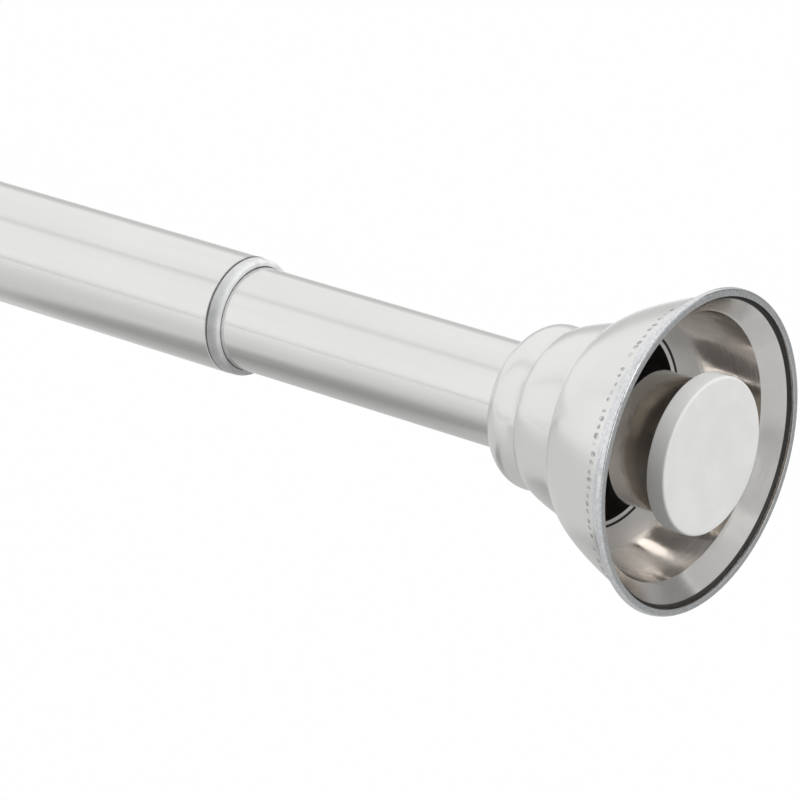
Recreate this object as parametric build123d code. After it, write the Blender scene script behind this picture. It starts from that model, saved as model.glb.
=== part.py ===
from build123d import *

import os
from math import pi, sqrt

# A spring tension rod: two telescoping tubes between rubber-faced feet, with a
# stepped bell flange over each foot and a screw and spring inside.
# Millimetres. The rod lies along X, +Z is up, and the origin is the centre of
# the outer tube's foot, where it meets the wall.

# Tubes
inner_tube_diameter = 22.2
inner_tube_wall = 0.6
tube_gap = 1.0
outer_tube_wall = 0.6
outer_tube_length = 552.92
bare_length = 71.63
least_overlap = 70.0
bead_width = 3.2
bead_depth = 0.5

# Feet
pad_radius = 16.05
pad_thickness = 4.1
pad_chamfer = 0.45
pad_stem_radius = 4.5
pad_barb_radius = 5.6
pad_barb_length = 4.0
cup_web = 2.5
cup_length = 11.1
inner_cup_wall = 2.65
outer_cup_wall = 1.5
cup_edge = 0.5
spigot_length = 14.0
spigot_wall = 2.0
flute_count = 6
flute_width = 2.4
flute_depth = 0.7

# Flanges: lengths behind the rim
bell_length = 21.9
ring_two_length = 12.0
ring_one_length = 9.5
bearing_length = 6.6
land_depth = 4.85
rim_flare_length = 3.4
pad_proud = 2.4

# Flanges: the rim and the land inside it
rim_radius = 33.0
rim_face = 1.6
rim_groove_width = 0.5
rim_groove_depth = 1.0
rim_corner = 0.55
rim_flare = 1.9
land_drop = 3.2
land_step = 0.35

# Flanges: the shell, and how far its curves are drawn out
flange_wall = 1.5
flange_edge = 0.8
throat_ledge = 1.2
ledge_slope = 0.7
shelf_lead = 0.5
bell_crown_lead = 1.9
bell_crown_rise = 4.0
ring_two_rise = 1.9
ring_one_lead = 3.9
ring_one_rise = 2.95
cavity_crown_lead = 6.3
cavity_crown_drop = 2.1
throat_crown_lead = 4.8
throat_crown_drop = 0.9

# Collar at the outer tube's mouth
collar_nose = 3.05
collar_gap = 0.35
collar_step = 0.1
collar_bevel = 0.75
collar_bevel_length = 1.5
collar_mouth = 0.35
collar_mouth_depth = 1.0
collar_sleeve = 26.0
collar_slots = 4
collar_slot_width = 1.2
collar_slot_length = 16.0

# Screw, spring and what they carry
screw_diameter = 8.0
screw_lead = 4.0
screw_flat = 0.8
screw_tail = 3.0
nut_flats = 13.0
nut_thickness = 6.5
nut_edge = 0.6
washer_radius = 7.6
washer_thickness = 1.6
anchor_length = 20.0
pilot_length = 5.0
spring_wire = 2.4
spring_side_gap = 2.4
spring_length = 66.0
spring_turns = 7
spring_travel = 22.0
follower_length = 14.0
follower_relief = 0.8
drive_nut_length = 24.0
drive_lip = 2.0
neck_wall = 4.2
neck_length = 8.0
neck_barb = 0.9
neck_barb_length = 1.6
glide_slot = 2.0
closing_travel = 25.0

# Clearances
press_gap = 0.05
thread_gap = 0.15
sliding_gap = 0.2
face_gap = 0.1
cup_clearance = 0.95
throat_clearance = 3.55
pilot_clearance = 0.3
spring_end_gap = 0.1
end_clearance = 3.0

# How far a cutting shape runs past what it cuts
cut_over = 1.0

# Radii that follow
inner_radius = inner_tube_diameter / 2
inner_bore = inner_radius - inner_tube_wall
outer_bore = inner_radius + tube_gap
outer_radius = outer_bore + outer_tube_wall
inner_cup_radius = inner_radius + inner_cup_wall
outer_cup_radius = outer_radius + outer_cup_wall
screw_radius = screw_diameter / 2
screw_bore = screw_radius + thread_gap
spring_radius = outer_bore - spring_side_gap - spring_wire / 2
pilot_radius = spring_radius - spring_wire / 2 - pilot_clearance
neck_radius = screw_bore + neck_wall

# Places along the rod, from the wall at the outer tube's foot
outer_tube_start = pad_thickness + cup_web
outer_tube_end = outer_tube_start + outer_tube_length
collar_front = outer_tube_end + collar_nose
flange_length = bell_length + ring_two_length + ring_one_length
inner_flange_rim = collar_front + bare_length + flange_length
outer_flange_rim = pad_proud
rod_length = inner_flange_rim + pad_proud
inner_tube_end = rod_length - pad_thickness - cup_web
screw_start = outer_tube_start + spigot_length + end_clearance + spring_travel
retaining_nut_back = screw_start + screw_tail
anchor_back = retaining_nut_back + nut_thickness + washer_thickness + 2 * face_gap
anchor_front = anchor_back + anchor_length
follower_back = anchor_front + spring_length
follower_front = follower_back + follower_length
lock_nut_front = follower_front + face_gap + nut_thickness
neck_back = lock_nut_front + end_clearance + closing_travel
inner_tube_start = neck_back + neck_barb_length + neck_length + drive_lip
opening_travel = outer_tube_end - least_overlap - inner_tube_start
drive_nut_end = inner_tube_start + drive_nut_length
stop_washer_back = drive_nut_end + opening_travel + face_gap
stop_nut_back = stop_washer_back + washer_thickness + face_gap
screw_end = stop_nut_back + nut_thickness + screw_tail


def turned(*corners):
    """Revolve a closed outline of (x, radius) corners about the rod's axis."""
    return revolve(make_face(Polyline(*corners, close=True)), Axis.X)


def slab(start, end, width, height, middle=0.0):
    """A block across the rod, from start to end, with its middle at a height."""
    centre = ((start + end) / 2, 0, middle)
    return Pos(centre) * Box(end - start, width, height)


def beaded_tube(start, end, radius, wall, bead):
    """A tube with one rolled bead that grips the plug inside it."""
    low, high = bead - bead_width / 2, bead + bead_width / 2
    bore = radius - wall
    outline = [
        Line((start, radius), (low, radius)),
        ThreePointArc((low, radius), (bead, radius - bead_depth), (high, radius)),
        Line((high, radius), (end, radius)),
        Line((end, radius), (end, bore)),
        Line((end, bore), (high, bore)),
        ThreePointArc((high, bore), (bead, bore - bead_depth), (low, bore)),
        Line((low, bore), (start, bore)),
        Line((start, bore), (start, radius)),
    ]
    return revolve(make_face(outline), Axis.X)


def bead_groove(radius, bead):
    """The ring that a bead presses out of the plug of the given bore."""
    reach = bead_width / 2 + press_gap
    floor = radius - bead_depth - press_gap
    outline = [
        ThreePointArc((bead - reach, radius), (bead, floor), (bead + reach, radius)),
        Line((bead + reach, radius), (bead + reach, radius + cut_over)),
        Line((bead + reach, radius + cut_over), (bead - reach, radius + cut_over)),
        Line((bead - reach, radius + cut_over), (bead - reach, radius)),
    ]
    return revolve(make_face(outline), Axis.X)


def foot_pad(face, inward):
    """The foot's disc, with a barbed stem that snaps through the cup's web."""
    back = face + inward * pad_thickness
    web_back = back + inward * (cup_web + face_gap)
    barb_end = web_back + inward * pad_barb_length
    tip_radius = pad_stem_radius - pad_chamfer
    return turned(
        (face, 0),
        (face, pad_radius - pad_chamfer),
        (face + inward * pad_chamfer, pad_radius),
        (back, pad_radius),
        (back, pad_stem_radius),
        (web_back, pad_stem_radius),
        (web_back, pad_barb_radius),
        (barb_end, tip_radius),
        (barb_end, 0),
    )


def end_cup(face, inward, tube_radius, wall, cup_wall):
    """The cup on a tube's end: a skirt outside the tube and a spigot inside."""
    front = face + inward * (pad_thickness + face_gap)
    web_back = face + inward * (pad_thickness + cup_web - face_gap)
    skirt_end = front + inward * cup_length
    spigot_end = web_back + inward * spigot_length
    cup_radius = tube_radius + cup_wall
    skirt_bore = tube_radius + press_gap
    spigot_radius = tube_radius - wall - press_gap
    hollow = spigot_radius - spigot_wall
    stem_hole = pad_stem_radius + press_gap
    lead_in = spigot_radius - cup_edge
    cup = turned(
        (front, stem_hole),
        (front, cup_radius - cup_edge),
        (front + inward * cup_edge, cup_radius),
        (skirt_end - inward * cup_edge, cup_radius),
        (skirt_end, cup_radius - cup_edge),
        (skirt_end, skirt_bore),
        (web_back, skirt_bore),
        (web_back, spigot_radius),
        (spigot_end - inward * cup_edge, spigot_radius),
        (spigot_end, lead_in),
        (spigot_end, hollow),
        (web_back, hollow),
        (web_back, stem_hole),
    )
    flute_end = spigot_end + inward * cut_over
    start, end = sorted((web_back + inward * cup_edge, flute_end))
    for index in range(flute_count):
        flute = slab(start, end, flute_width, 2 * flute_depth, spigot_radius)
        cup -= Rot(index * 360 / flute_count, 0, 0) * flute
    return cup


def flange(rim, inward, tube_radius, cup_radius):
    """One stepped bell, hollow from the rim back to its bearing on the tube."""

    def at(depth, radius):
        return (rim + inward * depth, radius)

    bore = tube_radius + sliding_gap
    shelf = cup_radius + cup_clearance
    throat = pad_radius + throat_clearance
    valley_one = shelf + flange_wall
    valley_two = throat + flange_wall
    land_edge = rim_radius - rim_face - rim_groove_width
    flare_start = rim_radius - rim_flare
    ring_one_start = bell_length + ring_two_length
    back = flange_length

    # Outside, from the small end to the rim: two rounded rings and the bell
    small_end = at(back, bore + flange_edge)
    first_valley = at(ring_one_start, valley_one)
    second_valley = at(bell_length, valley_two)
    flare = at(rim_flare_length, flare_start)
    rim_back = at(rim_corner * 2, rim_radius)
    rim_front = at(0, rim_radius - rim_corner)
    ring_one_crown = at(back - ring_one_lead, valley_one + ring_one_rise)
    ring_two_crown = at(ring_one_start, valley_one + ring_two_rise)
    bell_crown = at(bell_length - bell_crown_lead, valley_two + bell_crown_rise)
    flare_crown = at(rim_corner * 2, flare_start + rim_corner)

    # Inside, from the rim to the bearing
    land_end = land_edge - land_drop
    face_edge = at(0, land_edge + rim_groove_width)
    groove_floor = at(rim_groove_depth, land_edge + rim_groove_width)
    land_front = at(rim_groove_depth, land_edge)
    land_back = at(land_depth, land_end)
    wall_front = at(land_depth + land_step, land_end - land_step)
    wall_crown = at(bell_length - cavity_crown_lead, land_end - cavity_crown_drop)
    ledge_front = at(bell_length - flange_wall, throat + throat_ledge)
    ledge_back = at(bell_length - flange_wall + ledge_slope, throat)
    throat_crown = at(ring_one_start - throat_crown_lead, throat - throat_crown_drop)
    shelf_front = at(ring_one_start - shelf_lead, shelf)
    shelf_back = at(back - bearing_length, shelf)
    bearing_front = at(back - bearing_length, bore)
    bearing_back = at(back, bore)

    outline = [
        Bezier(small_end, ring_one_crown, first_valley),
        Bezier(first_valley, ring_two_crown, second_valley),
        Bezier(second_valley, bell_crown, flare),
        Bezier(flare, flare_crown, rim_back),
        Bezier(rim_back, at(0, rim_radius), rim_front),
        Line(rim_front, face_edge),
        Line(face_edge, groove_floor),
        Line(groove_floor, land_front),
        Line(land_front, land_back),
        Line(land_back, wall_front),
        Bezier(wall_front, wall_crown, ledge_front),
        Line(ledge_front, ledge_back),
        Bezier(ledge_back, throat_crown, shelf_front),
        Line(shelf_front, shelf_back),
        Line(shelf_back, bearing_front),
        Line(bearing_front, bearing_back),
        Line(bearing_back, small_end),
    ]
    return revolve(make_face(outline), Axis.X)


def tube_collar():
    """The plastic ring that lines the outer tube's mouth and guides the inner tube."""
    bore = inner_radius + sliding_gap
    sleeve = outer_bore - press_gap
    nose = outer_radius - collar_step
    back = outer_tube_end + collar_gap
    sleeve_end = outer_tube_end - collar_sleeve
    bevel_back = collar_front - collar_bevel_length
    outline = [
        Line((sleeve_end, bore), (sleeve_end, sleeve)),
        Line((sleeve_end, sleeve), (back, sleeve)),
        Line((back, sleeve), (back, nose)),
        Line((back, nose), (bevel_back, nose)),
        Bezier((bevel_back, nose), (collar_front, nose), (collar_front, nose - collar_bevel)),
        Line((collar_front, nose - collar_bevel), (collar_front, bore + collar_mouth)),
        Line((collar_front, bore + collar_mouth), (collar_front - collar_mouth_depth, bore)),
        Line((collar_front - collar_mouth_depth, bore), (sleeve_end, bore)),
    ]
    ring = revolve(make_face(outline), Axis.X)
    for index in range(collar_slots):
        slot = slab(
            sleeve_end - cut_over,
            sleeve_end + collar_slot_length,
            collar_slot_width,
            outer_radius,
            outer_radius / 2,
        )
        ring -= Rot(index * 360 / collar_slots, 0, 0) * slot
    return ring


def flatted_rod(start, end, radius, flat):
    """A round rod with one flat along it, at the given height above its axis."""
    rod = turned((start, 0), (start, radius), (end, radius), (end, 0))
    cut_start, cut_end = start - cut_over, end + cut_over
    return rod - slab(cut_start, cut_end, 2 * radius, radius, flat + radius / 2)


def spring_anchor():
    """The plug held by the outer tube's bead, which the spring pushes against."""
    plug_radius = outer_bore - press_gap
    pilot_end = anchor_front + pilot_length
    plug = turned(
        (anchor_back, 0),
        (anchor_back, plug_radius),
        (anchor_front, plug_radius),
        (anchor_front, pilot_radius),
        (pilot_end, pilot_radius),
        (pilot_end, 0),
    )
    flat = screw_radius - screw_flat + thread_gap
    plug -= flatted_rod(anchor_back - cut_over, pilot_end + cut_over, screw_bore, flat)
    return plug - bead_groove(outer_bore, anchor_bead)


def tension_spring():
    """The compression spring, with both ends ground flat."""
    start = anchor_front + spring_end_gap
    end = follower_back - spring_end_gap
    path = Helix(
        pitch=(end - start) / spring_turns,
        height=end - start,
        radius=spring_radius,
        center=(start, 0, 0),
        direction=(1, 0, 0),
    )
    section = Plane(origin=path @ 0, z_dir=path % 0) * Circle(spring_wire / 2)
    coil = sweep(section, path=path, is_frenet=True)
    return coil & slab(start, end, 4 * outer_radius, 4 * outer_radius)


def lead_screw():
    """The long screw, with a flat where it passes through the anchor."""
    tip_radius = screw_radius - screw_flat
    rod = turned(
        (screw_start, 0),
        (screw_start, tip_radius),
        (screw_start + screw_flat, screw_radius),
        (screw_end - screw_flat, screw_radius),
        (screw_end, tip_radius),
        (screw_end, 0),
    )
    flat_middle = tip_radius + screw_radius
    start = screw_start - cut_over
    return rod - slab(start, follower_back, screw_diameter, screw_diameter, flat_middle)


def hex_nut(back):
    """A hexagon nut with its corners turned off at both faces."""
    corner_radius = nut_flats / sqrt(3)
    front = back + nut_thickness
    hexagon = RegularPolygon(nut_flats / 2, 6, major_radius=False)
    prism = extrude(Plane.YZ.offset(back) * hexagon, nut_thickness)
    blank = turned(
        (back, screw_bore),
        (back, nut_flats / 2),
        (back + nut_edge, corner_radius),
        (front - nut_edge, corner_radius),
        (front, nut_flats / 2),
        (front, screw_bore),
    )
    return prism & blank


def flat_washer(back):
    """A plain washer on the screw."""
    front = back + washer_thickness
    return turned(
        (back, screw_bore),
        (back, washer_radius),
        (front, washer_radius),
        (front, screw_bore),
    )


def spring_follower():
    """The collar that the spring pushes along the outer tube."""
    radius = outer_bore - sliding_gap
    waist = radius - follower_relief
    band = follower_length / 4
    pilot_end = follower_back - pilot_length
    return turned(
        (pilot_end, screw_bore),
        (pilot_end, pilot_radius),
        (follower_back, pilot_radius),
        (follower_back, radius),
        (follower_back + band, radius),
        (follower_back + band, waist),
        (follower_front - band, waist),
        (follower_front - band, radius),
        (follower_front, radius),
        (follower_front, screw_bore),
    )


def drive_nut():
    """The threaded plug in the inner tube's end, with a neck for the glide ring."""
    plug_radius = inner_bore - press_gap
    barb_radius = neck_radius + neck_barb
    neck_start = neck_back + neck_barb_length
    lip_back = neck_start + neck_length
    lip_front = inner_tube_start - face_gap
    plug = turned(
        (neck_back, screw_bore),
        (neck_back, neck_radius),
        (neck_start, barb_radius),
        (neck_start, neck_radius),
        (lip_back, neck_radius),
        (lip_back, inner_radius),
        (lip_front, inner_radius),
        (lip_front, plug_radius),
        (drive_nut_end, plug_radius),
        (drive_nut_end, screw_bore),
    )
    return plug - bead_groove(inner_bore, drive_bead)


def glide_ring():
    """The split ring on the drive nut's neck that slides in the outer tube."""
    start = neck_back + neck_barb_length + face_gap
    end = start + neck_length - 2 * face_gap
    bore = neck_radius + sliding_gap
    radius = outer_bore - sliding_gap
    ring = turned((start, bore), (start, radius), (end, radius), (end, bore))
    cut_start, cut_end = start - cut_over, end + cut_over
    return ring - slab(cut_start, cut_end, glide_slot, outer_bore, -outer_bore / 2)


anchor_bead = anchor_back + anchor_length / 2
drive_bead = inner_tube_start + drive_nut_length / 2

parts = {
    "outer_tube": beaded_tube(
        outer_tube_start, outer_tube_end, outer_radius, outer_tube_wall, anchor_bead
    ),
    "outer_end_cup": end_cup(0, 1, outer_radius, outer_tube_wall, outer_cup_wall),
    "outer_foot_pad": foot_pad(0, 1),
    "outer_flange": flange(outer_flange_rim, 1, outer_radius, outer_cup_radius),
    "tube_collar": tube_collar(),
    "spring_anchor": spring_anchor(),
    "tension_spring": tension_spring(),
    "lead_screw": lead_screw(),
    "screw_nuts": Compound(
        [
            hex_nut(retaining_nut_back),
            hex_nut(follower_front + face_gap),
            hex_nut(stop_nut_back),
        ]
    ),
    "screw_washers": Compound(
        [
            flat_washer(retaining_nut_back + nut_thickness + face_gap),
            flat_washer(stop_washer_back),
        ]
    ),
    "spring_follower": spring_follower(),
    "glide_ring": glide_ring(),
    "drive_nut": drive_nut(),
    "inner_tube": beaded_tube(
        inner_tube_start, inner_tube_end, inner_radius, inner_tube_wall, drive_bead
    ),
    "inner_end_cup": end_cup(
        rod_length, -1, inner_radius, inner_tube_wall, inner_cup_wall
    ),
    "inner_foot_pad": foot_pad(rod_length, -1),
    "inner_flange": flange(inner_flange_rim, -1, inner_radius, inner_cup_radius),
}

os.makedirs("parts", exist_ok=True)
for name, shape in parts.items():
    export_step(shape, f"parts/{name}.step")

print(f"length as set {rod_length:.2f}")
print(f"closing {closing_travel:.2f}, opening {opening_travel:.2f}, spring {spring_travel:.2f}")
print(f"metres of travel for each radian {screw_lead / 1000 / (2 * pi):.6f}")
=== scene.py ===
import math
import random

import bmesh
import bpy
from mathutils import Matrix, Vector


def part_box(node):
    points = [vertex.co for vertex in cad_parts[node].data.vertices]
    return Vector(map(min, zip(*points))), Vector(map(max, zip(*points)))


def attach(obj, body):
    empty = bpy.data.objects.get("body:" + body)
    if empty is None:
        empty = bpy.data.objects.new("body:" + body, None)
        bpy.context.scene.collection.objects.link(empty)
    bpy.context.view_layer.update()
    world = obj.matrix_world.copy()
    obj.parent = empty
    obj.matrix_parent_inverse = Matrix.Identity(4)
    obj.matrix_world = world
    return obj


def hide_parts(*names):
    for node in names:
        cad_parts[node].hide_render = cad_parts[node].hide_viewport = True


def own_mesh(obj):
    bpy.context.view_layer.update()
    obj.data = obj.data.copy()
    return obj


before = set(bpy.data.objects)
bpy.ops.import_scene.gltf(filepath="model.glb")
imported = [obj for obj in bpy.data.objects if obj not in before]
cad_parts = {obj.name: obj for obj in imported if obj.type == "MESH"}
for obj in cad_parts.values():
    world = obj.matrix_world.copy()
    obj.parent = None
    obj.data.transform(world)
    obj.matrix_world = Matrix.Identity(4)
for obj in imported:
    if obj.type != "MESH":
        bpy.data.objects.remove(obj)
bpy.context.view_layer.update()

MM = 0.001

# Sizes of the turned pieces, in millimetres
INNER_TUBE = 11.1
OUTER_TUBE = 12.7
TUBE_WALL = 0.6
BEAD_WIDTH = 3.2
BEAD_DEPTH = 0.5
SLIDING_GAP = 0.2
PRESS_GAP = 0.05
PAD_RADIUS = 16.05
PAD_THICKNESS = 4.1
PAD_STEM = 4.5
PAD_BARB = 5.6
PAD_BARB_LENGTH = 4.0
INNER_CUP = 13.75
OUTER_CUP = 14.2
CUP_WEB = 2.5
CUP_LENGTH = 11.1
CUP_EDGE = 0.5
CUP_SHOULDER = 1.4
SPIGOT_LENGTH = 14.0
SPIGOT_WALL = 2.0
FACE_GAP = 0.1
BELL_LENGTH = 21.9
RING_TWO_LENGTH = 12.0
RING_ONE_LENGTH = 9.5
RIM_RADIUS = 33.0
RIM_FACE = 1.6
GROOVE_WIDTH = 0.5
GROOVE_DEPTH = 1.0
RIM_CORNER = 0.55
RIM_FLARE = 1.9
FLARE_LENGTH = 3.4
LAND_DEPTH = 4.85
LAND_DROP = 3.2
LAND_STEP = 0.35
FLANGE_WALL = 1.5
FLANGE_EDGE = 0.8
BEARING_LENGTH = 6.6
LEDGE = 1.2
LEDGE_SLOPE = 0.7
CUP_CLEARANCE = 0.95
THROAT_CLEARANCE = 3.55
COLLAR_NOSE = 3.05
COLLAR_GAP = 0.35
COLLAR_SLEEVE = 26.0
COLLAR_CLEARANCE = 0.08
SPRING_RADIUS = 8.5
SPRING_WIRE = 1.2
SPRING_TURNS = 7
ANCHOR_LENGTH = 20.0
DRIVE_NUT_LENGTH = 24.0
SCREW_RADIUS = 4.0
SCREW_FLAT = 0.8
SCREW_TIP = 0.8
THREAD_PITCH = 2.0
THREAD_STARTS = 2
THREAD_DEPTH = 0.55

# The thread's ridge, in its own heights: how high its crest would stand before it is cut
# flat at 1, and how much its sides would fall over one pitch
THREAD_CREST = 1.6
THREAD_SLOPE = 4.4

# How far each curve of the flange is drawn out along the rod and across it
RING_ONE_LEAD = 3.9
RING_ONE_RISE = 2.95
RING_TWO_RISE = 1.9
BELL_CROWN_LEAD = 1.9
BELL_CROWN_RISE = 4.0
CAVITY_CROWN_LEAD = 6.3
CAVITY_CROWN_DROP = 2.1
THROAT_CROWN_LEAD = 4.8
THROAT_CROWN_DROP = 0.9
SHELF_LEAD = 0.5

# Where the flange's curves meet, and its small roundings
FOLD = 0.15
FOLD_RISE = 0.02
BELL_FOLD = 0.1
FLARE_FOLD_RISE = 0.03
GROOVE_EDGE = 0.15
GROOVE_FLOOR_EDGE = 0.1
LAND_LEAD_IN = ((0.14, 0.1), (0.28, 0.22))
LAND_LEAD_OUT = (0.2, 0.16)
LAND_EDGE = 0.15
LEDGE_EDGE = 0.12
LEDGE_FOOT = 0.25
BEARING_EDGE = 0.2

# A ring of corners inside the pad's face, as a share of its radius
PAD_INNER_RING = 0.6

# Roundings of the other pieces
TUBE_EDGE = 0.12
TUBE_BORE_EDGE = 0.08
BEAD_SHADING = 0.5
PAD_FACE_EDGE = 0.6
PAD_FACE_EDGE_DEPTH = 0.55
PAD_BACK_EDGE = 0.25
PAD_BARB_TAPER = 0.45
COLLAR_STEP = 0.1
COLLAR_BACK_EDGE = 0.15
COLLAR_BEVEL = 0.75
COLLAR_BEVEL_LENGTH = 1.5
COLLAR_MOUTH = ((0.0, 0.2), (0.0, 0.05), (0.15, 0.02))
COLLAR_MOUTH_DEPTH = 1.0

# The row of pressed marks behind the rim: sizes in millimetres, the jitter around the
# row in steps of it, and the share of marks left out
MARK_COUNT = 112
MARK_CORNERS = 10
MARK_SKIPPED = 0.05
MARK_JITTER = 0.22
MARK_SETBACK = 1.25
MARK_SETBACK_JITTER = (-0.2, 0.25)
MARK_HALF_WIDTH = (0.4, 0.85)
MARK_HALF_LENGTH = (0.5, 0.95)
MARK_SUNK = 0.02
MARK_HEIGHT = 0.08

# Fineness of the meshes
ROUND = 224
BELL_STEPS = 60
SPRING_SIDES = 18
SPRING_STEPS_PER_TURN = 48
SCREW_SIDES = 32
SCREW_STEPS_PER_PITCH = 6
SHARP_ANGLE = math.radians(32)


def bezier(start, pull, end, count=10):
    """Points of a quadratic curve from start to end, drawn towards pull."""
    points = []
    for step in range(count + 1):
        t = step / count
        points.append(
            (
                (1 - t) ** 2 * start[0] + 2 * t * (1 - t) * pull[0] + t * t * end[0],
                (1 - t) ** 2 * start[1] + 2 * t * (1 - t) * pull[1] + t * t * end[1],
            )
        )
    return points


def behind(face, inward):
    """Turns a depth behind a face, and a radius, into a point of an outline."""
    return lambda depth, radius: (face + inward * depth, radius)


def around_axis(x, radius, angle):
    """A place around the rod's axis, in metres, from sizes in millimetres."""
    return (x * MM, radius * MM * math.cos(angle), radius * MM * math.sin(angle))


def span(node):
    """A CAD node's lowest and highest x, in millimetres."""
    low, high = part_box(node)
    return low[0] / MM, high[0] / MM


def placed(name, data):
    """An object of that data, in the scene."""
    thing = bpy.data.objects.new(name, data)
    bpy.context.scene.collection.objects.link(thing)
    return thing


def finished(name, shape, body, node, materials):
    """The piece made from a bmesh, riding on its body in place of its CAD node."""
    bmesh.ops.recalc_face_normals(shape, faces=shape.faces)
    mesh = bpy.data.meshes.new(name)
    shape.to_mesh(mesh)
    shape.free()
    mesh.set_sharp_from_angle(angle=SHARP_ANGLE)
    piece = placed(name, mesh)
    for material in materials:
        mesh.materials.append(material)
    if node:
        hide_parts(node)
    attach(piece, body)
    return piece


def turned(name, outline, body, node, materials, zones=None):
    """A lathe mesh from a closed outline of (x, radius) points in millimetres."""
    shape = bmesh.new()
    rings = []
    for x, radius in outline:
        count = ROUND if radius else 1
        angles = [2 * math.pi * step / ROUND for step in range(count)]
        rings.append([shape.verts.new(around_axis(x, radius, angle)) for angle in angles])
    for index, ring in enumerate(rings):
        following = rings[(index + 1) % len(rings)]
        if len(ring) == 1 and len(following) == 1:
            continue
        for step in range(ROUND):
            beside = (step + 1) % ROUND
            corners = [ring[step % len(ring)], following[step % len(following)]]
            if len(following) > 1:
                corners.append(following[beside])
            if len(ring) > 1:
                corners.append(ring[beside])
            face = shape.faces.new(corners)
            face.smooth = True
            face.material_index = zones[index] if zones else 0
    return finished(name, shape, body, node, materials)


def skinned(shape, rings):
    """Smooth faces from each ring of corners to the next, and a cap at either end."""
    for first, second in zip(rings, rings[1:]):
        for corner in range(len(first)):
            beside = (corner + 1) % len(first)
            face = shape.faces.new((first[corner], first[beside], second[beside], second[corner]))
            face.smooth = True
    shape.faces.new(rings[0])
    shape.faces.new(rings[-1])


class Nodes:
    """A small builder for one material's node tree."""

    def __init__(self, name):
        self.material = bpy.data.materials.new(name)
        self.material.use_nodes = True
        self.tree = self.material.node_tree
        self.shader = self.tree.nodes["Principled BSDF"]
        self.place = self.add("ShaderNodeTexCoord").outputs["Object"]

    def add(self, kind, **settings):
        """A new node with those settings."""
        node = self.tree.nodes.new(kind)
        for key, value in settings.items():
            setattr(node, key, value)
        return node

    def link(self, output, socket):
        """Joins an output to a socket."""
        self.tree.links.new(output, socket)

    def feed(self, socket, value):
        """Sets a socket to a number or colour, or links an output to it."""
        if isinstance(value, (int, float, tuple)):
            socket.default_value = value
        else:
            self.link(value, socket)

    def stretched(self, scale):
        """Object coordinates scaled along each axis."""
        mapping = self.add("ShaderNodeMapping")
        mapping.inputs["Scale"].default_value = scale
        self.link(self.place, mapping.inputs["Vector"])
        return mapping.outputs["Vector"]

    def noise(self, vector, scale, detail=4.0, roughness=0.55):
        node = self.add("ShaderNodeTexNoise")
        node.inputs["Scale"].default_value = scale
        node.inputs["Detail"].default_value = detail
        node.inputs["Roughness"].default_value = roughness
        self.link(vector, node.inputs["Vector"])
        return node.outputs["Fac"]

    def spread(self, value, low, high, new_low, new_high):
        """The value taken smoothly from one range to another."""
        node = self.add("ShaderNodeMapRange")
        node.interpolation_type = "SMOOTHSTEP"
        for name, number in (
            ("From Min", low),
            ("From Max", high),
            ("To Min", new_low),
            ("To Max", new_high),
        ):
            node.inputs[name].default_value = number
        self.link(value, node.inputs["Value"])
        return node.outputs["Result"]

    def math(self, operation, first, second):
        node = self.add("ShaderNodeMath", operation=operation)
        self.feed(node.inputs[0], first)
        self.feed(node.inputs[1], second)
        return node.outputs[0]

    def blend(self, factor, first, second):
        """A mix of two colours."""
        node = self.add("ShaderNodeMix", data_type="RGBA")
        self.link(factor, node.inputs["Factor"])
        for name, value in (("A", first), ("B", second)):
            socket = [s for s in node.inputs if s.name == name and s.type == "RGBA"][0]
            self.feed(socket, value)
        return [s for s in node.outputs if s.type == "RGBA"][0]

    def attribute(self, name):
        node = self.add("ShaderNodeAttribute", attribute_name=name)
        return node.outputs["Fac"]

    def bump(self, height, strength, distance):
        node = self.add("ShaderNodeBump")
        node.inputs["Strength"].default_value = strength
        node.inputs["Distance"].default_value = distance
        self.link(height, node.inputs["Height"])
        self.link(node.outputs["Normal"], self.shader.inputs["Normal"])

    def set(self, **values):
        """Feeds the shader's sockets, their names written with underscores."""
        for name, value in values.items():
            self.feed(self.shader.inputs[name.replace("_", " ")], value)


def grey(level, warmth=0.0):
    """A grey, turned a little towards red by its warmth."""
    return (level * (1 + warmth), level, level * (1 - warmth), 1)


def tube_metal():
    """Satin silver with fine lengthwise brushing and faint streaks."""
    m = Nodes("satin_tube")
    brushing = m.noise(m.stretched((6, 900, 900)), 1.0, 6.0, 0.7)
    streaks = m.noise(m.stretched((9, 260, 260)), 1.0, 3.0)
    clouds = m.noise(m.place, 28.0, 3.0)
    tone = m.math("ADD", m.math("MULTIPLY", streaks, 0.6), m.math("MULTIPLY", clouds, 0.4))
    light, dark = (0.80, 0.80, 0.784, 1), (0.765, 0.765, 0.75, 1)
    colour = m.blend(m.spread(tone, 0.35, 0.65, 0, 1), dark, light)
    m.set(Base_Color=colour, Metallic=1.0)
    m.set(Roughness=m.spread(brushing, 0.3, 0.7, 0.15, 0.23))
    m.bump(brushing, 0.12, 0.00002)
    return m.material


def flange_satin():
    """Pearly satin plating: smooth, with slow waves left by the moulding."""
    m = Nodes("flange_satin")
    waves = m.noise(m.stretched((60, 22, 22)), 1.0, 2.0)
    grain = m.noise(m.place, 1800.0, 3.0)
    light, dark = (0.82, 0.82, 0.806, 1), (0.79, 0.79, 0.776, 1)
    colour = m.blend(m.spread(waves, 0.35, 0.65, 0, 1), dark, light)
    m.set(Base_Color=colour, Metallic=0.9)
    m.set(Roughness=m.spread(grain, 0.3, 0.7, 0.2, 0.24))
    height = m.math("ADD", m.math("MULTIPLY", grain, 0.004), waves)
    m.bump(height, 0.2, 0.00025)
    return m.material


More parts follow.
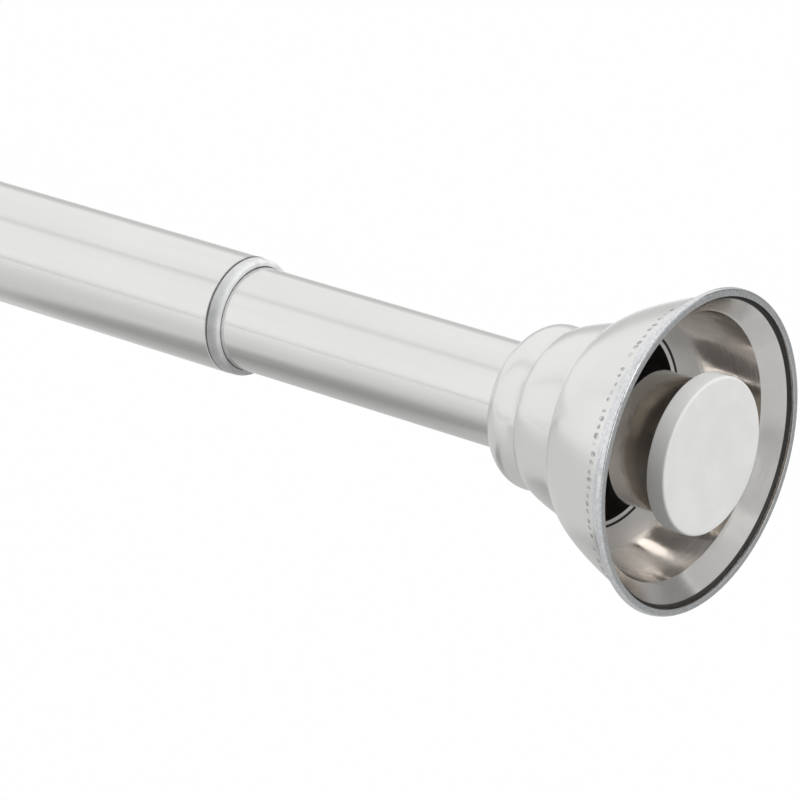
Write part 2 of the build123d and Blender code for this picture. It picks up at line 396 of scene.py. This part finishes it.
def flange_nickel():
    """The bell's inside: warm nickel with turning marks, paler and half matt deep inside."""
    m = Nodes("flange_nickel")
    marks = m.noise(m.stretched((1400, 30, 30)), 1.0, 4.0)
    flow = m.noise(m.stretched((90, 60, 60)), 1.0, 3.0)
    edge = m.math("ADD", m.attribute("depth"), m.math("MULTIPLY", flow, 2.0))
    deep = m.spread(edge, 16.0, 19.0, 0, 1)
    light, dark = (0.72, 0.69, 0.655, 1), (0.62, 0.585, 0.55, 1)
    polished = m.blend(m.spread(flow, 0.35, 0.65, 0, 1), dark, light)
    m.set(Base_Color=m.blend(deep, polished, (0.82, 0.805, 0.785, 1)))
    m.set(Metallic=m.math("SUBTRACT", 0.9, m.math("MULTIPLY", deep, 0.4)))
    gloss = m.spread(marks, 0.3, 0.7, 0.05, 0.11)
    m.set(Roughness=m.math("ADD", gloss, m.math("MULTIPLY", deep, 0.26)))
    height = m.math("ADD", m.math("MULTIPLY", marks, 0.02), flow)
    m.bump(height, 0.15, 0.0003)
    return m.material


def flange_land():
    """The turned land behind the rim: brighter, with fine ring marks."""
    m = Nodes("flange_land")
    marks = m.noise(m.stretched((2200, 40, 40)), 1.0, 4.0)
    cloud = m.noise(m.place, 90.0, 3.0)
    light, dark = (0.74, 0.73, 0.71, 1), (0.68, 0.665, 0.645, 1)
    colour = m.blend(m.spread(cloud, 0.35, 0.65, 0, 1), dark, light)
    m.set(Base_Color=colour, Metallic=1.0)
    m.set(Roughness=m.spread(marks, 0.3, 0.7, 0.16, 0.22))
    m.bump(m.math("ADD", m.math("MULTIPLY", marks, 0.02), cloud), 0.1, 0.0003)
    return m.material


def cup_nickel():
    """Bright nickel with slow waves and a fine haze."""
    m = Nodes("cup_nickel")
    flow = m.noise(m.stretched((70, 45, 45)), 1.0, 3.0)
    haze = m.noise(m.stretched((300, 900, 900)), 1.0, 4.0)
    light, dark = (0.75, 0.725, 0.69, 1), (0.70, 0.67, 0.63, 1)
    colour = m.blend(m.spread(flow, 0.35, 0.65, 0, 1), dark, light)
    m.set(Base_Color=colour, Metallic=1.0)
    m.set(Roughness=m.spread(haze, 0.3, 0.7, 0.05, 0.12))
    m.bump(flow, 0.12, 0.0002)
    return m.material


def pad_rubber():
    """Matte white rubber, faintly mottled, with a fine grain."""
    m = Nodes("pad_rubber")
    mottle = m.noise(m.place, 160.0, 3.0)
    grain = m.noise(m.place, 3800.0, 2.0)
    light, dark = (0.735, 0.735, 0.72, 1), (0.70, 0.70, 0.686, 1)
    m.set(Base_Color=m.blend(m.spread(mottle, 0.3, 0.7, 0, 1), dark, light))
    m.set(Roughness=m.spread(mottle, 0.3, 0.7, 0.55, 0.68))
    m.bump(grain, 0.2, 0.00003)
    return m.material


def collar_plastic():
    """Milky grey resin with clouds in it and a fine grain."""
    m = Nodes("collar_resin")
    clouds = m.noise(m.place, 320.0, 3.0)
    fine = m.noise(m.place, 2400.0, 3.0)
    light, dark = grey(0.78, -0.005), grey(0.64, -0.01)
    m.set(Base_Color=m.blend(m.spread(clouds, 0.3, 0.7, 0, 1), dark, light))
    m.set(Roughness=m.spread(fine, 0.3, 0.7, 0.2, 0.34))
    m.bump(fine, 0.15, 0.00003)
    return m.material


def clouded(name, noise, dark, light, metallic, gloss, relief, edges=(0.3, 0.7)):
    """A finish whose shade, gloss and fine relief all follow one noise."""
    m = Nodes(name)
    cloud = m.noise(m.place, *noise)
    m.set(Base_Color=m.blend(m.spread(cloud, *edges, 0, 1), dark, light), Metallic=metallic)
    m.set(Roughness=m.spread(cloud, 0.3, 0.7, *gloss))
    m.bump(cloud, *relief)
    return m.material


def painted_shade_recess(name, level):
    """Near-black painted shade for a deep recess, standing in for the shade that falls there."""
    dark, light = grey(0.012, 0.12), grey(level, 0.12)
    return clouded(name, (700.0, 4.0), dark, light, 0.0, (0.45, 0.6), (0.15, 0.00005))


TUBE = tube_metal()
SATIN = flange_satin()
NICKEL = flange_nickel()
LAND = flange_land()
RIM = clouded(
    "flange_rim",
    (1500.0, 4.0),
    (0.64, 0.65, 0.66, 1),
    (0.77, 0.78, 0.79, 1),
    1.0,
    (0.14, 0.24),
    (0.2, 0.00004),
)
# The rim's groove takes near-black painted shade, standing in for the shade in the crevice.
GROOVE_PAINTED_SHADE = painted_shade_recess("rim_groove_painted_shade", 0.03)
# The bell's throat takes near-black painted shade, standing in for the shade deep in the hole.
THROAT_PAINTED_SHADE = painted_shade_recess("throat_painted_shade", 0.028)
# The pressed marks' darker grey is painted shade, standing in for the shading of the small marks.
MARK_PAINTED_SHADE = clouded(
    "pressed_mark_painted_shade",
    (800.0, 3.0),
    grey(0.40),
    grey(0.74),
    0.9,
    (0.3, 0.45),
    (0.2, 0.00004),
    edges=(0.4, 0.6),
)
CUP = cup_nickel()
PAD = pad_rubber()
COLLAR = collar_plastic()
NYLON = clouded(
    "natural_nylon",
    (420.0, 3.0),
    grey(0.74, 0.03),
    grey(0.80, 0.02),
    0.0,
    (0.4, 0.55),
    (0.1, 0.00005),
)
ZINC = clouded(
    "zinc_plate",
    (600.0, 4.0),
    grey(0.55, -0.02),
    grey(0.68, -0.02),
    1.0,
    (0.28, 0.45),
    (0.1, 0.00004),
)
WIRE = clouded(
    "spring_wire",
    (700.0, 4.0),
    grey(0.16),
    grey(0.26),
    1.0,
    (0.3, 0.5),
    (0.1, 0.00004),
)


def flange_zones(rim, inward, tube_radius, cup_radius):
    """The flange's outline in stretches, each with its finish."""
    at = behind(rim, inward)
    bore = tube_radius + SLIDING_GAP
    shelf = cup_radius + CUP_CLEARANCE
    throat = PAD_RADIUS + THROAT_CLEARANCE
    valley_one = shelf + FLANGE_WALL
    valley_two = throat + FLANGE_WALL
    land = RIM_RADIUS - RIM_FACE - GROOVE_WIDTH
    land_end = land - LAND_DROP
    groove_side = land + GROOVE_WIDTH
    flare_start = RIM_RADIUS - RIM_FLARE
    rim_edge = RIM_CORNER * 2
    shoulder = BELL_LENGTH + RING_TWO_LENGTH
    back = shoulder + RING_ONE_LENGTH
    bearing = back - BEARING_LENGTH
    ledge = BELL_LENGTH - FLANGE_WALL

    outside = bezier(
        at(back, bore + FLANGE_EDGE),
        at(back - RING_ONE_LEAD, valley_one + RING_ONE_RISE),
        at(shoulder, valley_one),
        22,
    )
    outside += bezier(
        at(shoulder - FOLD, valley_one + FOLD_RISE),
        at(shoulder, valley_one + RING_TWO_RISE),
        at(BELL_LENGTH + FOLD, valley_two),
        20,
    )
    outside += bezier(
        at(BELL_LENGTH - BELL_FOLD, valley_two + BELL_FOLD),
        at(BELL_LENGTH - BELL_CROWN_LEAD, valley_two + BELL_CROWN_RISE),
        at(FLARE_LENGTH, flare_start),
        28,
    )
    rim_points = bezier(
        at(FLARE_LENGTH - FOLD, flare_start + FLARE_FOLD_RISE),
        at(rim_edge, flare_start + RIM_CORNER),
        at(rim_edge, RIM_RADIUS),
        8,
    )
    rim_points += bezier(
        at(rim_edge, RIM_RADIUS),
        at(0, RIM_RADIUS),
        at(0, RIM_RADIUS - RIM_CORNER),
        8,
    )[1:]
    rim_points += bezier(
        at(0, groove_side + GROOVE_EDGE),
        at(0, groove_side),
        at(GROOVE_EDGE, groove_side),
        4,
    )
    groove = [
        at(GROOVE_DEPTH - GROOVE_FLOOR_EDGE, groove_side),
        at(GROOVE_DEPTH, groove_side - GROOVE_FLOOR_EDGE),
    ]
    (near_in, near_drop), (far_in, far_drop) = LAND_LEAD_IN
    groove += bezier(
        at(GROOVE_DEPTH - GROOVE_FLOOR_EDGE, land + FOLD_RISE),
        at(GROOVE_DEPTH, land),
        at(GROOVE_DEPTH + near_in, land - near_drop),
        4,
    )
    land_points = [at(GROOVE_DEPTH + far_in, land - far_drop)]
    land_points += bezier(
        at(LAND_DEPTH - LAND_LEAD_OUT[0], land_end + LAND_LEAD_OUT[1]),
        at(LAND_DEPTH, land_end),
        at(LAND_DEPTH + LAND_EDGE, land_end - LAND_EDGE),
        4,
    )
    cavity = bezier(
        at(LAND_DEPTH + LAND_STEP, land_end - LAND_STEP),
        at(BELL_LENGTH - CAVITY_CROWN_LEAD, land_end - CAVITY_CROWN_DROP),
        at(ledge, throat + LEDGE),
        34,
    )
    ledge_corner = [at(ledge + LEDGE_EDGE, throat + LEDGE - LEDGE_EDGE)]
    ledge_points = [
        at(ledge + LEDGE_SLOPE / 2, throat + LEDGE / 2),
        at(ledge + LEDGE_SLOPE - FOLD, throat + LEDGE_FOOT),
    ]
    inner = bezier(
        at(ledge + LEDGE_SLOPE, throat),
        at(shoulder - THROAT_CROWN_LEAD, throat - THROAT_CROWN_DROP),
        at(shoulder - SHELF_LEAD, shelf),
        16,
    )
    inner += [
        at(bearing - BEARING_EDGE, shelf),
        at(bearing, shelf - BEARING_EDGE),
        at(bearing, bore + BEARING_EDGE),
        at(bearing + BEARING_EDGE, bore),
        at(back, bore),
    ]
    # The groove, the ledge's corner and the throat wear near-black painted shade.
    return (
        (SATIN, outside),
        (RIM, rim_points),
        (GROOVE_PAINTED_SHADE, groove),
        (LAND, land_points),
        (NICKEL, cavity),
        (THROAT_PAINTED_SHADE, ledge_corner),
        (NICKEL, ledge_points),
        (THROAT_PAINTED_SHADE, inner),
    )


def flange(name, node, body, rim, inward, tube_radius, cup_radius):
    """A flange's turned shell; each corner keeps its depth behind the rim for the finish."""
    finishes = (SATIN, RIM, GROOVE_PAINTED_SHADE, LAND, NICKEL, THROAT_PAINTED_SHADE)
    points = []
    zones = []
    for finish, stretch in flange_zones(rim, inward, tube_radius, cup_radius):
        points += stretch
        zones += [finishes.index(finish)] * len(stretch)
    piece = turned(name, points, body, node, finishes, zones)
    depth = piece.data.attributes.new("depth", "FLOAT", "POINT")
    for value, vertex in zip(depth.data, piece.data.vertices):
        value.value = inward * (vertex.co.x / MM - rim)


BELL_FOOT = PAD_RADIUS + THROAT_CLEARANCE + FLANGE_WALL
BELL_CURVE = bezier(
    (BELL_LENGTH, BELL_FOOT),
    (BELL_LENGTH - BELL_CROWN_LEAD, BELL_FOOT + BELL_CROWN_RISE),
    (FLARE_LENGTH, RIM_RADIUS - RIM_FLARE),
    BELL_STEPS,
)


def bell_radius(depth):
    """The bell's outer radius at a depth behind the rim."""
    for (deeper, inner), (nearer, outer) in zip(BELL_CURVE, BELL_CURVE[1:]):
        if nearer <= depth <= deeper:
            return outer + (inner - outer) * (depth - nearer) / (deeper - nearer)
    return RIM_RADIUS - RIM_FLARE


def crimp_marks(name, body, rim, inward, seed):
    """A row of small pressed marks around the bell, just behind the rim, in a darker grey that is
    painted shade.
    """
    picks = random.Random(seed)
    shape = bmesh.new()

    def corner_at(depth, angle, radius):
        return shape.verts.new(around_axis(rim + inward * depth, radius, angle))

    for index in range(MARK_COUNT):
        if picks.random() < MARK_SKIPPED:
            continue
        middle = 2 * math.pi * (index + picks.uniform(-MARK_JITTER, MARK_JITTER)) / MARK_COUNT
        depth = FLARE_LENGTH + MARK_SETBACK + picks.uniform(*MARK_SETBACK_JITTER)
        half_wide = picks.uniform(*MARK_HALF_WIDTH)
        half_long = picks.uniform(*MARK_HALF_LENGTH)
        radius = bell_radius(depth)
        ring = []
        for step in range(MARK_CORNERS):
            turn = 2 * math.pi * step / MARK_CORNERS
            place = depth + half_long * math.cos(turn)
            angle = middle + half_wide * math.sin(turn) / radius
            ring.append(corner_at(place, angle, bell_radius(place) - MARK_SUNK))
        top = corner_at(depth, middle, radius + MARK_HEIGHT)
        for step in range(MARK_CORNERS):
            face = shape.faces.new((ring[step], ring[(step + 1) % MARK_CORNERS], top))
            face.smooth = True
        shape.faces.new(ring)
    piece = finished(name, shape, body, None, (MARK_PAINTED_SHADE,))


def tube(name, node, body, radius, bead):
    """A tube with one rolled bead; rings beside it keep its slope out of the wall's shading."""
    start, end = span(node)
    bore = radius - TUBE_WALL
    low, high = bead - BEAD_WIDTH / 2, bead + BEAD_WIDTH / 2
    outline = [
        (start, radius - TUBE_EDGE),
        (start + TUBE_EDGE, radius),
        (low - BEAD_SHADING, radius),
        (low, radius),
    ]
    outline += bezier((low, radius), (bead, radius - 2 * BEAD_DEPTH), (high, radius), 8)[1:]
    outline += [
        (high + BEAD_SHADING, radius),
        (end - TUBE_EDGE, radius),
        (end, radius - TUBE_EDGE),
        (end, bore + TUBE_BORE_EDGE),
        (end - TUBE_BORE_EDGE, bore),
        (high + BEAD_SHADING, bore),
        (high, bore),
    ]
    outline += bezier((high, bore), (bead, bore - 2 * BEAD_DEPTH), (low, bore), 8)[1:]
    outline += [
        (low - BEAD_SHADING, bore),
        (start + TUBE_BORE_EDGE, bore),
        (start, bore + TUBE_BORE_EDGE),
    ]
    piece = turned(name, outline, body, node, (TUBE,))


def end_cup(name, node, body, face, inward, tube_radius, cup_radius):
    """The cup that grips a tube's end between its skirt and its spigot."""
    at = behind(face, inward)
    front = PAD_THICKNESS + FACE_GAP
    web = PAD_THICKNESS + CUP_WEB - FACE_GAP
    skirt = front + CUP_LENGTH
    spigot_end = web + SPIGOT_LENGTH
    spigot = tube_radius - TUBE_WALL - PRESS_GAP
    hollow = spigot - SPIGOT_WALL
    stem = PAD_STEM + PRESS_GAP
    outline = [at(front, stem)]
    outline += bezier(
        at(front, cup_radius - CUP_SHOULDER),
        at(front, cup_radius),
        at(front + CUP_SHOULDER, cup_radius),
        10,
    )
    outline += bezier(
        at(skirt - CUP_EDGE, cup_radius),
        at(skirt, cup_radius),
        at(skirt, cup_radius - CUP_EDGE),
        6,
    )
    outline += [
        at(skirt, tube_radius + PRESS_GAP),
        at(web, tube_radius + PRESS_GAP),
        at(web, spigot),
        at(spigot_end - CUP_EDGE, spigot),
        at(spigot_end, spigot - CUP_EDGE),
        at(spigot_end, hollow),
        at(web, hollow),
        at(web, stem),
    ]
    piece = turned(name, outline, body, node, (CUP,))


def foot_pad(name, node, body, face, inward):
    """The foot's rubber disc with its barbed stem."""
    at = behind(face, inward)
    web = PAD_THICKNESS + CUP_WEB + FACE_GAP
    barb_end = web + PAD_BARB_LENGTH
    outline = [at(0, 0), at(0, PAD_RADIUS * PAD_INNER_RING)]
    outline += bezier(
        at(0, PAD_RADIUS - PAD_FACE_EDGE),
        at(0, PAD_RADIUS),
        at(PAD_FACE_EDGE_DEPTH, PAD_RADIUS),
        8,
    )
    outline += bezier(
        at(PAD_THICKNESS - PAD_BACK_EDGE, PAD_RADIUS),
        at(PAD_THICKNESS, PAD_RADIUS),
        at(PAD_THICKNESS, PAD_RADIUS - PAD_BACK_EDGE),
        4,
    )
    outline += [
        at(PAD_THICKNESS, PAD_STEM),
        at(web, PAD_STEM),
        at(web, PAD_BARB),
        at(barb_end, PAD_STEM - PAD_BARB_TAPER),
        at(barb_end, 0),
    ]
    piece = turned(name, outline, body, node, (PAD,))


def tube_collar():
    """The collar in the outer tube's mouth, with its bevelled nose."""
    end = span("outer_tube")[1]
    front = end + COLLAR_NOSE
    back = end + COLLAR_GAP
    bore = INNER_TUBE + COLLAR_CLEARANCE
    sleeve = OUTER_TUBE - TUBE_WALL - PRESS_GAP
    nose = OUTER_TUBE - COLLAR_STEP
    outline = [
        (end - COLLAR_SLEEVE, bore),
        (end - COLLAR_SLEEVE, sleeve),
        (back, sleeve),
        (back, nose - COLLAR_BACK_EDGE),
        (back + COLLAR_BACK_EDGE, nose),
    ]
    outline += bezier(
        (front - COLLAR_BEVEL_LENGTH, nose),
        (front, nose),
        (front, nose - COLLAR_BEVEL),
        12,
    )
    outline += bezier(*[(front - depth, bore + rise) for depth, rise in COLLAR_MOUTH], 4)
    outline += [(front - COLLAR_MOUTH_DEPTH, bore)]
    piece = turned("collar_ring", outline, "outer_rod", "tube_collar", (COLLAR,))


def coil_spring():
    """The compression spring, its ends ground flat."""
    start, end = span("tension_spring")
    steps = SPRING_TURNS * SPRING_STEPS_PER_TURN
    shape = bmesh.new()
    rings = []
    rise = (end - start) / (2 * math.pi * SPRING_TURNS)
    lean = math.atan2(rise, SPRING_RADIUS)
    for step in range(steps + 1):
        angle = 2 * math.pi * SPRING_TURNS * step / steps
        middle = start + rise * angle
        out = Vector((0, math.cos(angle), math.sin(angle)))
        along = Vector((0, -math.sin(angle), math.cos(angle)))
        side = Vector((math.cos(lean), 0, 0)) - along * math.sin(lean)
        ring = []
        for corner in range(SPRING_SIDES):
            turn = 2 * math.pi * corner / SPRING_SIDES
            place = out * (SPRING_RADIUS + SPRING_WIRE * math.cos(turn))
            place = place + side * SPRING_WIRE * math.sin(turn) + Vector((middle, 0, 0))
            place.x = min(max(place.x, start), end)
            ring.append(shape.verts.new(place * MM))
        rings.append(ring)
    skinned(shape, rings)
    piece = finished("coil_spring", shape, "outer_rod", "tension_spring", (WIRE,))
    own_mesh(piece)


def screw_radius(x, angle, tip):
    """The threaded screw's radius at a place that far from its nearer tip."""
    phase = (x / THREAD_PITCH + THREAD_STARTS * angle / (2 * math.pi)) % 1.0
    ridge = min(1.0, max(0.0, THREAD_CREST - abs(phase - 0.5) * THREAD_SLOPE))
    radius = SCREW_RADIUS - THREAD_DEPTH * (1 - ridge)
    return min(radius, SCREW_RADIUS - SCREW_TIP + tip)


def lead_screw():
    """The screw with its rolled thread, and the flat that passes the anchor."""
    start, end = span("lead_screw")
    flat_end = span("spring_follower")[0]
    shape = bmesh.new()
    rings = []
    steps = int((end - start) / THREAD_PITCH * SCREW_STEPS_PER_PITCH)
    for step in range(steps + 1):
        x = start + (end - start) * step / steps
        ring = []
        for corner in range(SCREW_SIDES):
            angle = 2 * math.pi * corner / SCREW_SIDES
            radius = screw_radius(x, angle, min(x - start, end - x))
            y, z = radius * math.cos(angle), radius * math.sin(angle)
            if x < flat_end:
                z = min(z, SCREW_RADIUS - SCREW_FLAT)
            ring.append(shape.verts.new((x * MM, y * MM, z * MM)))
        rings.append(ring)
    skinned(shape, rings)
    piece = finished("threaded_screw", shape, "screw_rod", "lead_screw", (ZINC,))


inner_rim = span("inner_flange")[1]
outer_rim = span("outer_flange")[0]
inner_face = span("inner_foot_pad")[1]
outer_face = span("outer_foot_pad")[0]
drive_bead = span("inner_tube")[0] + DRIVE_NUT_LENGTH / 2
anchor_bead = span("spring_anchor")[0] + ANCHOR_LENGTH / 2

flange("inner_bell_shell", "inner_flange", "inner_bell", inner_rim, -1, INNER_TUBE, INNER_CUP)
flange("outer_bell_shell", "outer_flange", "outer_bell", outer_rim, 1, OUTER_TUBE, OUTER_CUP)
crimp_marks("inner_bell_crimps", "inner_bell", inner_rim, -1, seed=5)
crimp_marks("outer_bell_crimps", "outer_bell", outer_rim, 1, seed=9)
tube("inner_tube_skin", "inner_tube", "inner_rod", INNER_TUBE, drive_bead)
tube("outer_tube_skin", "outer_tube", "outer_rod", OUTER_TUBE, anchor_bead)
end_cup("inner_cup", "inner_end_cup", "inner_rod", inner_face, -1, INNER_TUBE, INNER_CUP)
end_cup("outer_cup", "outer_end_cup", "outer_rod", outer_face, 1, OUTER_TUBE, OUTER_CUP)
foot_pad("inner_pad", "inner_foot_pad", "inner_rod", inner_face, -1)
foot_pad("outer_pad", "outer_foot_pad", "outer_rod", outer_face, 1)
tube_collar()
coil_spring()
lead_screw()

CAD_FINISHES = {
    "spring_anchor": NYLON,
    "spring_follower": NYLON,
    "drive_nut": NYLON,
    "glide_ring": NYLON,
    "screw_nuts": ZINC,
    "screw_washers": ZINC,
}
for node, material in CAD_FINISHES.items():
    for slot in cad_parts[node].material_slots:
        slot.material = material


# The studio: lengths in metres, angles in degrees, the camera from the photograph's perspective
CAMERA_PLACE = (1.11178, -0.6220, 0.3202)
CAMERA_AZIMUTH = 129.353
CAMERA_FALL = 22.218
CAMERA_LENS = 190.36
CAMERA_SENSOR = 36
CAMERA_REACH = 100
KEY_ENERGY = 2.95
KEY_ANGLE = 55
KEY_AZIMUTH = 8
KEY_RISE = 48
ROOM_LEVEL = 0.3
FLOOR_LEVEL = 0.45
FLOOR_HEIGHT = -0.6
FLOOR_REACH = 30.0
FLOOR_ROUGHNESS = 0.9


def direction(azimuth, rise):
    """The unit vector at an azimuth and a rise, in degrees."""
    azimuth, rise = math.radians(azimuth), math.radians(rise)
    return Vector(
        (
            math.cos(rise) * math.cos(azimuth),
            math.cos(rise) * math.sin(azimuth),
            math.sin(rise),
        )
    )


def turn_to(thing, towards, axis):
    """Turns a camera or lamp so that its axis points that way."""
    thing.rotation_mode = "QUATERNION"
    thing.rotation_quaternion = towards.to_track_quat(axis, "Y")


def camera():
    """The camera at the photograph's viewing angle."""
    data = bpy.data.cameras.new("camera")
    data.lens = CAMERA_LENS
    data.sensor_width = CAMERA_SENSOR
    data.clip_end = CAMERA_REACH
    eye = placed("camera", data)
    eye.location = CAMERA_PLACE
    turn_to(eye, direction(CAMERA_AZIMUTH, -CAMERA_FALL), "-Z")
    bpy.context.scene.camera = eye


def key_light():
    """The soft lamp; no gloss shows it, the cards are there for that."""
    data = bpy.data.lights.new("key", "SUN")
    data.energy = KEY_ENERGY
    data.angle = math.radians(KEY_ANGLE)
    light = placed("key", data)
    light.visible_glossy = False
    turn_to(light, direction(KEY_AZIMUTH, KEY_RISE), "Z")


def shown(tree):
    """1 for rays that show a thing in the picture or in gloss, 0 for those that light."""
    path = tree.nodes.new("ShaderNodeLightPath")
    total = path.outputs["Is Camera Ray"]
    for name in ("Is Glossy Ray", "Is Transmission Ray"):
        add = tree.nodes.new("ShaderNodeMath")
        add.operation = "MAXIMUM"
        tree.links.new(total, add.inputs[0])
        tree.links.new(path.outputs[name], add.inputs[1])
        total = add.outputs[0]
    return total


def two_levels(tree, plain, socket):
    """Feeds a socket 1 where a ray shows it, and the plain level where it lights."""
    level = tree.nodes.new("ShaderNodeMapRange")
    level.inputs["To Min"].default_value = plain
    level.inputs["To Max"].default_value = 1.0
    tree.links.new(shown(tree), level.inputs["Value"])
    tree.links.new(level.outputs["Result"], socket)


def lying(low, high):
    """A sheet's corners from two opposite ones, its first side along x."""
    (x0, y0, z0), (x1, y1, z1) = low, high
    return [(x0, y0, z0), (x1, y0, z0), (x1, y1, z1), (x0, y1, z1)]


def standing(low, high):
    """An upright sheet's corners from two opposite ones, its first side at the bottom."""
    (x0, y0, z0), (x1, y1, z1) = low, high
    return [(x0, y0, z0), (x1, y1, z0), (x1, y1, z1), (x0, y0, z1)]


def panel(name, corners):
    """A four-cornered sheet of the studio, v running from its first side to its last."""
    mesh = bpy.data.meshes.new(name)
    mesh.from_pydata(corners, [], [(0, 1, 2, 3)])
    layer = mesh.uv_layers.new(name="across")
    for loop, place in zip(layer.data, ((0, 0), (1, 0), (1, 1), (0, 1))):
        loop.uv = place
    piece = placed(name, mesh)
    material = bpy.data.materials.new(name)
    material.use_nodes = True
    mesh.materials.append(material)
    return piece, material


def card(name, corners, shades):
    """A grey card that only gloss shows, shaded from its first side to its last."""
    piece, material = panel(name, corners)
    tree = material.node_tree
    tree.nodes.remove(tree.nodes["Principled BSDF"])
    glow = tree.nodes.new("ShaderNodeEmission")
    place = tree.nodes.new("ShaderNodeTexCoord")
    split = tree.nodes.new("ShaderNodeSeparateXYZ")
    ramp = tree.nodes.new("ShaderNodeValToRGB")
    ramp.color_ramp.interpolation = "EASE"
    while len(ramp.color_ramp.elements) < len(shades):
        ramp.color_ramp.elements.new(0.5)
    for element, (position, level) in zip(ramp.color_ramp.elements, shades):
        element.position = position
        element.color = (level, level, level, 1)
    tree.links.new(place.outputs["UV"], split.inputs["Vector"])
    tree.links.new(split.outputs["Y"], ramp.inputs["Fac"])
    tree.links.new(ramp.outputs["Color"], glow.inputs["Color"])
    tree.links.new(glow.outputs["Emission"], tree.nodes["Material Output"].inputs["Surface"])
    material.cycles.emission_sampling = "NONE"
    piece.visible_camera = False
    piece.visible_diffuse = False
    piece.visible_shadow = False


# Each card: its name, how it stands, two opposite corners, and its shades by their place
CARDS = (
    (
        "low_card",
        lying,
        (0.1, -2.8, -0.45),
        (0.32, 1.2, -0.45),
        (
            (0.03, 0.87),
            (0.33, 0.84),
            (0.48, 0.77),
            (0.54, 0.70),
            (0.58, 0.60),
            (0.61, 0.46),
            (0.64, 0.38),
            (0.67, 0.35),
            (0.695, 0.41),
            (0.72, 0.49),
            (0.765, 0.57),
            (0.91, 0.70),
            (1.0, 0.90),
        ),
    ),
    (
        "below_card",
        lying,
        (0.32, -2.8, -0.45),
        (0.72, 1.2, -0.45),
        (
            (0.03, 0.87),
            (0.33, 0.84),
            (0.48, 0.77),
            (0.54, 0.72),
            (0.60, 0.66),
            (0.67, 0.60),
            (0.765, 0.60),
            (0.91, 0.70),
            (1.0, 0.90),
        ),
    ),
    (
        "rear_card",
        lying,
        (-3.4, -2.8, -0.45),
        (0.1, 1.2, -0.45),
        ((0.03, 0.87), (0.33, 0.84), (0.48, 0.77), (0.54, 0.72), (0.8, 0.70), (1.0, 0.90)),
    ),
    (
        "back_card",
        standing,
        (-3.5, 2.4, -0.35),
        (0.5, 2.4, 1.05),
        ((0.0, 0.6), (0.75, 0.64), (1.0, 0.92)),
    ),
    (
        "horizon_card",
        standing,
        (-6, -2.4, -0.15),
        (1.0, -2.4, -0.05),
        ((0.0, 0.35), (1.0, 0.35)),
    ),
    (
        "overhead_card",
        lying,
        (-6, -0.66, 1.46),
        (3, -0.34, 1.54),
        ((0.0, 0.95), (0.5, 0.76), (1.0, 0.95)),
    ),
    (
        "wall_card",
        standing,
        (3.0, -2.4, -1.5),
        (3.0, 3.0, 2.6),
        ((0.0, 0.60), (0.5, 0.55), (1.0, 0.62)),
    ),
    (
        "near_card",
        standing,
        (1.85, -2.5, -1.5),
        (3.2, -2.4, 3.0),
        ((0.0, 0.5), (0.25, 0.25), (0.5, 0.2), (1.0, 0.2)),
    ),
    (
        "far_card",
        standing,
        (0.4, 2.6, -0.6),
        (3.0, 3.0, 2.5),
        ((0.0, 0.35), (1.0, 0.28)),
    ),
    (
        "top_card",
        lying,
        (1.8, -0.1, 2.9),
        (4.5, 3.0, 2.9),
        ((0.0, 0.66), (1.0, 0.56)),
    ),
    (
        "dark_card",
        lying,
        (2.3, -2.5, 3.0),
        (3.3, -1.2, 3.0),
        ((0.0, 0.2), (1.0, 0.25)),
    ),
    # a small reflector beside the open bell, for the bottom of its inside
    (
        "side_reflector",
        standing,
        (0.717, -0.05, 0.01),
        (0.745, -0.05, 0.14),
        ((0.0, 3.2), (0.19, 3.0), (0.24, 0.7), (0.29, 0.7), (0.33, 3.4), (1.0, 3.0)),
    ),
    (
        "front_card",
        lying,
        (0.72, -2.8, -0.46),
        (3.0, 2.6, -0.46),
        ((0.0, 0.62), (0.43, 0.70), (0.54, 0.64), (0.62, 0.42), (1.0, 0.36)),
    ),
)


def floor():
    """The pale floor, white in the picture."""
    low = (-FLOOR_REACH, -FLOOR_REACH, FLOOR_HEIGHT)
    high = (FLOOR_REACH, FLOOR_REACH, FLOOR_HEIGHT)
    tree = panel("floor", lying(low, high))[1].node_tree
    shader = tree.nodes["Principled BSDF"]
    shader.inputs["Roughness"].default_value = FLOOR_ROUGHNESS
    shader.inputs["Specular IOR Level"].default_value = 0.0
    two_levels(tree, FLOOR_LEVEL, shader.inputs["Base Color"])


def studio():
    """The world, the floor, the lamp and the cards."""
    world = bpy.data.worlds.new("studio")
    bpy.context.scene.world = world
    world.use_nodes = True
    tree = world.node_tree
    background = tree.nodes["Background"]
    background.inputs["Color"].default_value = (1, 1, 1, 1)
    two_levels(tree, ROOM_LEVEL, background.inputs["Strength"])
    floor()
    key_light()
    for name, stance, low, high, shades in CARDS:
        card(name, stance(low, high), shades)
    bpy.context.scene.view_settings.view_transform = "Standard"


camera()
studio()
